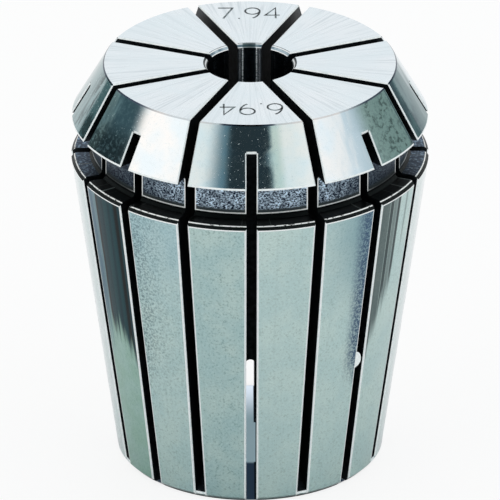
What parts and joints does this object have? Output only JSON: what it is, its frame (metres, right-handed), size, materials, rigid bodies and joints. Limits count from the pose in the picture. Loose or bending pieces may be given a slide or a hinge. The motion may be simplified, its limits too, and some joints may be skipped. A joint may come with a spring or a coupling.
{
  "type": "er collet",
  "caption": "Slotted steel spring collet with a long taper seat, a nut groove, a short front cone and a straight clamping bore.",
  "frame": {"origin": "centre of the rear face, the small end", "axes": "+Z along the bore, from the small rear end to the marked front face; a rear slot faces -Y"},
  "size_m": [0.033, 0.033, 0.0392],
  "materials": {
    "steel": "hardened and ground, satin"
  },
  "bodies": {
    "root": {"collet": "steel"}
  },
  "joints": []
}
